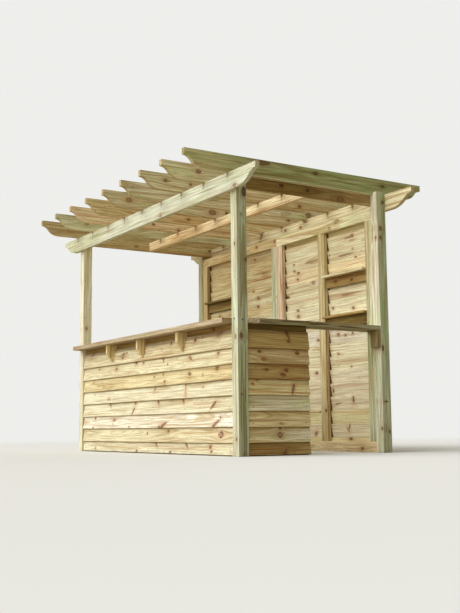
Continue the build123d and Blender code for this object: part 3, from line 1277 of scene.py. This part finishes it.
def posts() -> list[Sticks]:
    """List the posts with their finishes."""
    front_right = (
        Knot(2.012, -0.686, 0.016, long=1.9, dark=1.0, red=0.0), Knot(0.9, -0.721, 0.012),
        Knot(1.483, -0.677, 0.009), Knot(1.606, 1.47, 0.007, edge=True),
        Knot(0.894, 1.471, dark=0.7, red=0.6, edge=True), Knot(0.127, 1.47, 0.007, edge=True),
        Knot(0.48, -0.727, 0.004, 0.6, 60, 0.65, 0.1), Knot(0.34, -0.708, 0.004, -0.7, 68, 0.65, 0.1),
        Knot(0.62, -0.688, 0.004, 1.0, 45, 0.65, 0.1), Knot(0.2, -0.692, 0.004, -0.4, 38, 0.65, 0.1),
        Knot(1.45, -0.725, 0.0026, -0.4, 90, 0.4, 0.1), Knot(1.2, -0.69, 0.0026, 0.5, 70, 0.4, 0.1),
    )
    rear_right = (
        Knot(2.09, 0.706, dark=0.95, red=0.1), Knot(1.863, 0.675, 0.012), Knot(1.786, 0.672, 0.009, red=0.1),
        Knot(1.788, 1.474, 0.008, edge=True), Knot(0.857, 0.663, 0.009, long=2.2, dark=1.0, red=0.0),
        Knot(0.416, 0.684, 0.005, 90, 3.0, 1.0, 0.0), Knot(0.172, 0.706, 0.008, red=0.1),
        Knot(0.197, 1.488, 0.008, dark=1.0, red=0.1, edge=True),
    )
    return [
        Sticks(Grain.UPRIGHT, {
            "post_front_left": Pine(Tone.BLEACHED, (Knot(1.227, -0.719, 0.008),), 0.0, 0.4, 1.0, 0.0, 21.0),
            # Painted shade: the right posts' faces that look along +X take the darker, greener side tone.
            "post_front_right": Pine(Tone.MIST, front_right, 0.0, 0.6, 0.95, 0.1, 22.0, side=Tone.CELADON),
            "post_rear_left": Pine(Tone.LICHEN, green=0.4, seed=23.0),
            "post_rear_right": Pine(
                Tone.MIST, rear_right, 0.0, 0.8, 0.9, 0.1, 24.0, side=Tone.CELADON, far=Tone.BLEACHED,
                fade=(0.6, 1.0),
            ),
        }),
    ]


def counters() -> list[Sticks]:
    """List the counter's boards, its blocks and the shelves with their finishes."""
    return [
        Sticks(Grain.ALONG_X_FLAT, {
            "counter_front_outer": Pine(Tone.ROSE, seed=31.0),
            "counter_front_inner": Pine(Tone.BLEACHED, seed=32.0),
            "shelf_upper_left": Pine(Tone.PEAT, seed=33.0),
            "shelf_upper_right": Pine(Tone.IVORY, seed=34.0),
            "shelf_lower_left": Pine(Tone.UMBER, seed=35.0),
            "shelf_lower_right": Pine(Tone.TAN, seed=36.0),
        }),
        Sticks(Grain.ALONG_Y_FLAT, {
            "counter_side": Pine(Tone.LICHEN, (
                Knot(-0.2, 1.033, 0.005, 1, 24, 0.75, 0.1, True),
                Knot(-0.46, 1.013, 0.0045, -2, 18, 0.7, 0.1, True),
                Knot(0.02, 1.022, 0.0055, 2, 16, 0.8, 0.1, True),
                Knot(0.33, 1.012, 0.005, -1, 20, 0.75, 0.1, True),
                Knot(-0.1, 1.036, 0.006, 0, 2.5, 0.8, 0.1, True),
            ), 0.3, 0.5, 1.6, seed=37.0),
        }),
        Sticks(Grain.UPRIGHT_FRONT, {"counter_block": Pine(Tone.MOSS, seed=38.0)}),
        Sticks(Grain.UPRIGHT, {"counter_brackets": Pine(Tone.STRAW, seed=51.0)}),
    ]


def on_board(knots: tuple[Knot, ...], number: int) -> tuple[Knot, ...]:
    """Pick the knots on one wall board's inner face, with the boards counted from the top down."""
    top = WALL_TOP - number * Siding.exposure
    return tuple(knot for knot in knots if top - Siding.exposure < knot.across <= top)


def front_boards() -> list[Pine]:
    """List the finishes of the front panel's boards, from the top down."""
    return [
        Pine(Tone.SAND, (
            Knot(0.415, 0.926, 0.009), Knot(0.825, 0.92, 0.012, dark=0.95, red=0.2),
            Knot(1.207, 0.939, 0.016, 20, 2.4, 0.5, 0.6), Knot(-0.441, 0.905, 0.007),
            Knot(-0.509, 0.89, 0.015, 20, 1.8, 0.55, 0.4), Knot(-0.517, 0.875, 0.007),
            Knot(-1.22, 0.94, 0.012, 10, 3.0, 0.5, 0.4),
        ), 0.12, 0.1, 0.85),
        Pine(Tone.SAND, (
            Knot(0.276, 0.798, 0.008, -60, 2.5, 0.9, 0.2), Knot(0.361, 0.753, 0.006),
            Knot(1.188, 0.786, 0.011, dark=0.85), Knot(-0.655, 0.77), Knot(-0.104, 0.791, 0.008),
            Knot(-1.051, 0.786, 0.005), Knot(0.751, 0.777, 0.01, -25, 2.6, 0.8, 0.6),
        ), 0.08, 0.1, 0.75),
        Pine(Tone.WHEAT, (
            Knot(0.273, 0.67, 0.006), Knot(0.108, 0.658, 0.007), Knot(0.315, 0.604),
            Knot(0.738, 0.649, 0.011, -15, 2.0), Knot(0.955, 0.63, 0.007, dark=0.6), Knot(1.17, 0.671),
            Knot(-1.19, 0.662, 0.006),
        ), 0.15, 0.1, 0.75),
        Pine(Tone.PEARL, (
            Knot(0.955, 0.54, 0.009, dark=0.5, red=0.8), Knot(-1.155, 0.543, 0.006, dark=0.5),
            Knot(0.669, 0.548, 0.008, -75, 3.0, 0.75, 0.7), Knot(0.679, 0.494, 0.014, -70, 1.8, 0.5, 0.95),
            Knot(0.12, 0.551, 0.007, -140, 3.0, 0.8, 0.6), Knot(0.143, 0.517, 0.004, 2, 12, 0.6, 0.85),
        ), 0.08, 0.0, 0.7),
        Pine(Tone.PEARL, (
            Knot(-0.793, 0.437, 0.008, -46, 2.8, 0.85), Knot(-0.26, 0.44, dark=0.85),
            Knot(0.184, 0.437, 0.009, -60, 2.0), Knot(0.626, 0.439, 0.009, -60, 2.0),
            Knot(-0.29, 0.367, 0.009, -125, 3.6, 0.95), Knot(1.115, 0.384, 0.009, -140, 4.2, 1.0, 0.4),
            Knot(0.944, 0.402, 0.005, 1, 20, 0.4, 0.95),
        ), 0.1, 0.0, 0.75),
        Pine(Tone.BLEACHED, (
            Knot(-1.14, 0.318, 0.011, red=0.2), Knot(-0.7, 0.294, 0.009, 4, 3.2, 0.75, 0.65),
            Knot(-0.365, 0.226, 0.006), Knot(1.216, 0.291, 0.007), Knot(1.163, 0.247, 0.01, 30, 5.0, 0.95, 0.55),
            Knot(0.3, 0.243, 0.01, 24, 4.6, 0.95, 0.55),
        ), 0.1, 0.05),
        Pine(Tone.SAND, (
            Knot(1.225, 0.159, 0.02, 0, 1.8, 0.7, 0.8), Knot(1.228, 0.158, 0.008, dark=1.0, red=0.1),
            Knot(0.367, 0.189, 0.008), Knot(-0.018, 0.17, 0.008),
        ), 0.1, 0.05, 1.2),
        Pine(Tone.PEARL, (
            Knot(-1.119, 0.03, 0.008, red=0.6), Knot(-0.221, 0.015, dark=0.95), Knot(1.06, 0.063, 0.011, red=0.4),
            Knot(1.083, 0.033, dark=0.95, red=0.1), Knot(0.411, 0.012), Knot(0.144, 0.076, 0.008, -40, 3.0, 0.85),
            Knot(0.68, 0.073, 0.008, -40, 3.0, 0.85),
        ), 0.12, 0.0, 0.85),
    ]


def side_boards() -> list[Pine]:
    """List the finishes of the side panel's boards, from the top down."""
    return [
        Pine(Tone.TAN, (Knot(-0.283, 0.92, 0.009, -68, 3.4, 0.95), Knot(-0.281, 0.874, red=0.2)), 0.1, 0.4),
        Pine(Tone.HONEY, (
            Knot(-0.548, 0.787), Knot(-0.52, 0.726, red=0.7), Knot(-0.197, 0.784, 0.012),
            Knot(-0.209, 0.806, 0.008),
        )),
        Pine(Tone.TAN, (
            Knot(-0.305, 0.648, 0.012), Knot(-0.338, 0.616, 0.014, red=0.4), Knot(-0.489, 0.648, 0.008),
        ), warm=0.45),
        Pine(Tone.BUTTER, (
            Knot(-0.246, 0.5, 0.01, -110, 3.6, 0.85), Knot(-0.248, 0.445, 0.009, dark=1.0, red=0.0),
            Knot(-0.614, 0.538, 0.006),
        )),
        Pine(Tone.CREAM, warm=0.0, green=0.9, scatter=0.0),
        Pine(Tone.STRAW, (
            Knot(-0.36, 0.236, 0.006, -12, 3.0, 0.7, 0.7), Knot(-0.45, 0.262, 0.005, 0, 40, 0.5, 0.6),
        )),
        Pine(Tone.STRAW, (
            Knot(-0.374, 0.152, 0.015, dark=0.75, red=0.5), Knot(-0.374, 0.152, 0.005, dark=1.0, red=0.2),
            Knot(-0.368, 0.198, 0.008),
        ), green=0.5, far=Tone.CREAM),
        Pine(Tone.TAN, (Knot(-0.329, 0.023, 0.007, 46, 3.0),), warm=0.6, green=0.0),
    ]


def sidings() -> list[Siding]:
    """List the boards of all panels, from the top down."""
    left = (
        Knot(-0.44, 1.905), Knot(-0.27, 1.742, 0.006, 0, 8, 0.7, 0.4), Knot(-0.492, 1.584, 0.009, red=0.6),
        Knot(-0.37, 1.684, 0.004, 0, 30, 0.5, 0.5), Knot(-0.393, 1.502), Knot(-0.39, 1.42, 0.013),
    )
    right = (
        Knot(1.106, 1.878, 0.009), Knot(1.059, 1.871, 0.006, 4, 8, 0.7, 0.6),
        Knot(1.104, 1.841, 0.006, 0, 6, 0.6, 0.7), Knot(0.227, 1.747, 0.008), Knot(0.778, 1.751, 0.005),
        Knot(0.51, 1.738, 0.005, 2, 18, 0.7, 0.7), Knot(1.012, 1.722, 0.006, 0, 14, 0.8, 0.5),
        Knot(0.22, 1.686, 0.008), Knot(1.134, 1.676, 0.012, red=0.5),
        Knot(0.303, 1.662, 0.014, dark=0.85, red=0.5), Knot(0.279, 1.603),
        Knot(0.532, 1.539, 0.016, dark=0.7, red=0.6), Knot(0.117, 1.545), Knot(0.085, 1.358, 0.011),
        Knot(1.07, 1.37, 0.007, 1, 16, 0.7, 0.7), Knot(0.286, 1.307, 0.013),
        Knot(0.279, 1.251, 0.015, dark=0.8, red=0.5), Knot(0.813, 1.267, 0.009), Knot(1.09, 1.239),
        Knot(0.974, 1.01, 0.007), Knot(1.076, 1.021, 0.008), Knot(0.879, 1.025, red=0.6), Knot(0.579, 0.999),
        Knot(0.861, 0.852, 0.008), Knot(1.038, 0.732, 0.005, dark=1.0, red=0.0),
        Knot(0.786, 0.534, 0.007, 80, 2.0, 1.0), Knot(0.854, 0.418, 0.005, 8, 7.0, 0.8, 0.6),
        Knot(1.07, 0.455, 0.008, 82, 3.2, 1.0, 0.4), Knot(0.518, 0.156, 0.012, 40, 1.8, 0.8, 0.5),
        Knot(1.01, 0.221, 0.006, 66, 3.6, 0.9, 0.5), Knot(0.986, 0.188, 0.006, -58, 3.0, 0.9, 0.5),
    )
    # Painted light and shade in the walls' inner tones: the left wall's are darker, as its inner face lies in more
    # shade, and the right wall's are the palest, to make up for the light that the front panel and roof keep off it.
    # The outer faces take the backs' tones instead.
    left_tones = "PEACH HONEY WHEAT WHEAT SAND WHEAT SAND STRAW WHEAT SAND STRAW SAND WHEAT CREAM SAND STRAW WHEAT"
    right_tones = (
        "STRAW IVORY IVORY PEACH IVORY IVORY IVORY CREAM BLEACHED IVORY IVORY FLAX FLAX FLAX BUTTER FLAX BUTTER"
    )
    backs = (Tone.CREAM, Tone.SAND, Tone.IVORY, Tone.STRAW)
    return [
        Siding("front_panel", front_boards(), Vector((0, -1, 0)), 3),
        Siding("side_panel", side_boards(), Vector((1, 0, 0)), 4),
        Siding("wall_left", [
            Pine(Tone[tone], on_board(left, k), 0.3, 0.1, 0.9, back=backs[k % 4])
            for k, tone in enumerate(left_tones.split())
        ], Vector((0, 1, 0)), 5),
        Siding("wall_right", [
            # Painted light: the lower boards, from the twelfth down, show less contrast, which lightens them.
            Pine(Tone[tone], on_board(right, k), 0.22, 0.0, 0.65 if k < 11 else 0.5, 0.2, back=backs[k % 4])
            for k, tone in enumerate(right_tones.split())
        ], Vector((0, 1, 0)), 6),
    ]


def frames() -> list[Frames]:
    """List the rails, studs and small timbers with their finishes."""
    return [
        Frames("front_panel_rails", Grain.ALONG_X, [
            Pine(Tone.IVORY),
            Pine(Tone.TAN, (Knot(1.073, 0.986, 0.009),), green=0.7),
        ], seed=41),
        Frames("front_panel_studs", Grain.UPRIGHT_FRONT, [Pine(Tone.HONEY)] * 5, seed=42),
        Frames("side_panel_rails", Grain.ALONG_Y, [Pine(Tone.HONEY), Pine(Tone.PEAT)], seed=43),
        Frames("side_panel_studs", Grain.UPRIGHT, [Pine(Tone.HONEY)] * 2, seed=44),
        Frames("wall_left_rails", Grain.ALONG_X, [
            Pine(Tone.TAN),
            Pine(Tone.HONEY, (Knot(-0.028, 2.014, 0.009),)),
        ], seed=45),
        Frames("wall_left_studs", Grain.UPRIGHT_FRONT, [
            Pine(Tone.HONEY, green=0.3),
            Pine(Tone.SAGE, green=0.5),
            Pine(Tone.MIST, warm=0.0, green=1.0, contrast=1.4),
        ], seed=46),
        Frames("wall_right_rails", Grain.ALONG_X, [
            Pine(Tone.PEACH, (Knot(1.223, 0.031, 0.009, dark=1.0),)),
            Pine(Tone.IVORY, (Knot(0.948, 2.027, 0.013, 20, 1.8, 0.6, 0.6),), green=0.5),
        ], seed=47),
        Frames("wall_right_studs", Grain.UPRIGHT_FRONT, [
            Pine(Tone.BLUSH, warm=0.15, green=0.0, contrast=1.3),
            Pine(Tone.WHEAT, (
                Knot(1.955, 0.74, 0.006, red=0.0), Knot(0.359, 0.738, 0.009, dark=1.0, red=0.0),
            ), contrast=1.3),
            Pine(Tone.SAGE, far=Tone.PEARL, green=0.7, contrast=1.3),
        ], seed=48),
        Frames("shelf_ledgers", Grain.ALONG_X, [
            Pine(Tone.HONEY),
            Pine(Tone.OCHRE),
            Pine(Tone.OCHRE, (Knot(1.299, 1.114, 0.008),)),
            Pine(Tone.TAN, (Knot(0.889, 1.496), Knot(1.113, 1.483))),
        ], seed=49, slot="shelves"),
    ]


def screws() -> Fasteners:
    """List the two dark screw heads that hold the counters to the front right post."""
    low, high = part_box("post_front_right")
    front = Matrix.Translation((1.459, low.y, 1.032)) @ Matrix.Rotation(math.pi / 2, 4, "X")
    side = Matrix.Translation((high.x, -0.711, 1.022)) @ Matrix.Rotation(math.pi / 2, 4, "Y")
    places = [front, side]
    return Fasteners("post_screws", "posts", places, radius=0.0062, proud=0.0020, recess=0.0026, steel=BLACKENED)


def main() -> None:
    """Build the bar's pieces and the studio."""
    logging.basicConfig(level=logging.INFO, format="%(name)s: %(message)s")
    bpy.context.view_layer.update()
    for assembly in (*posts(), *roof(), *counters(), *sidings(), *frames(), screws()):
        assembly.build()
    Studio().build()


if __name__ == "__main__":
    main()
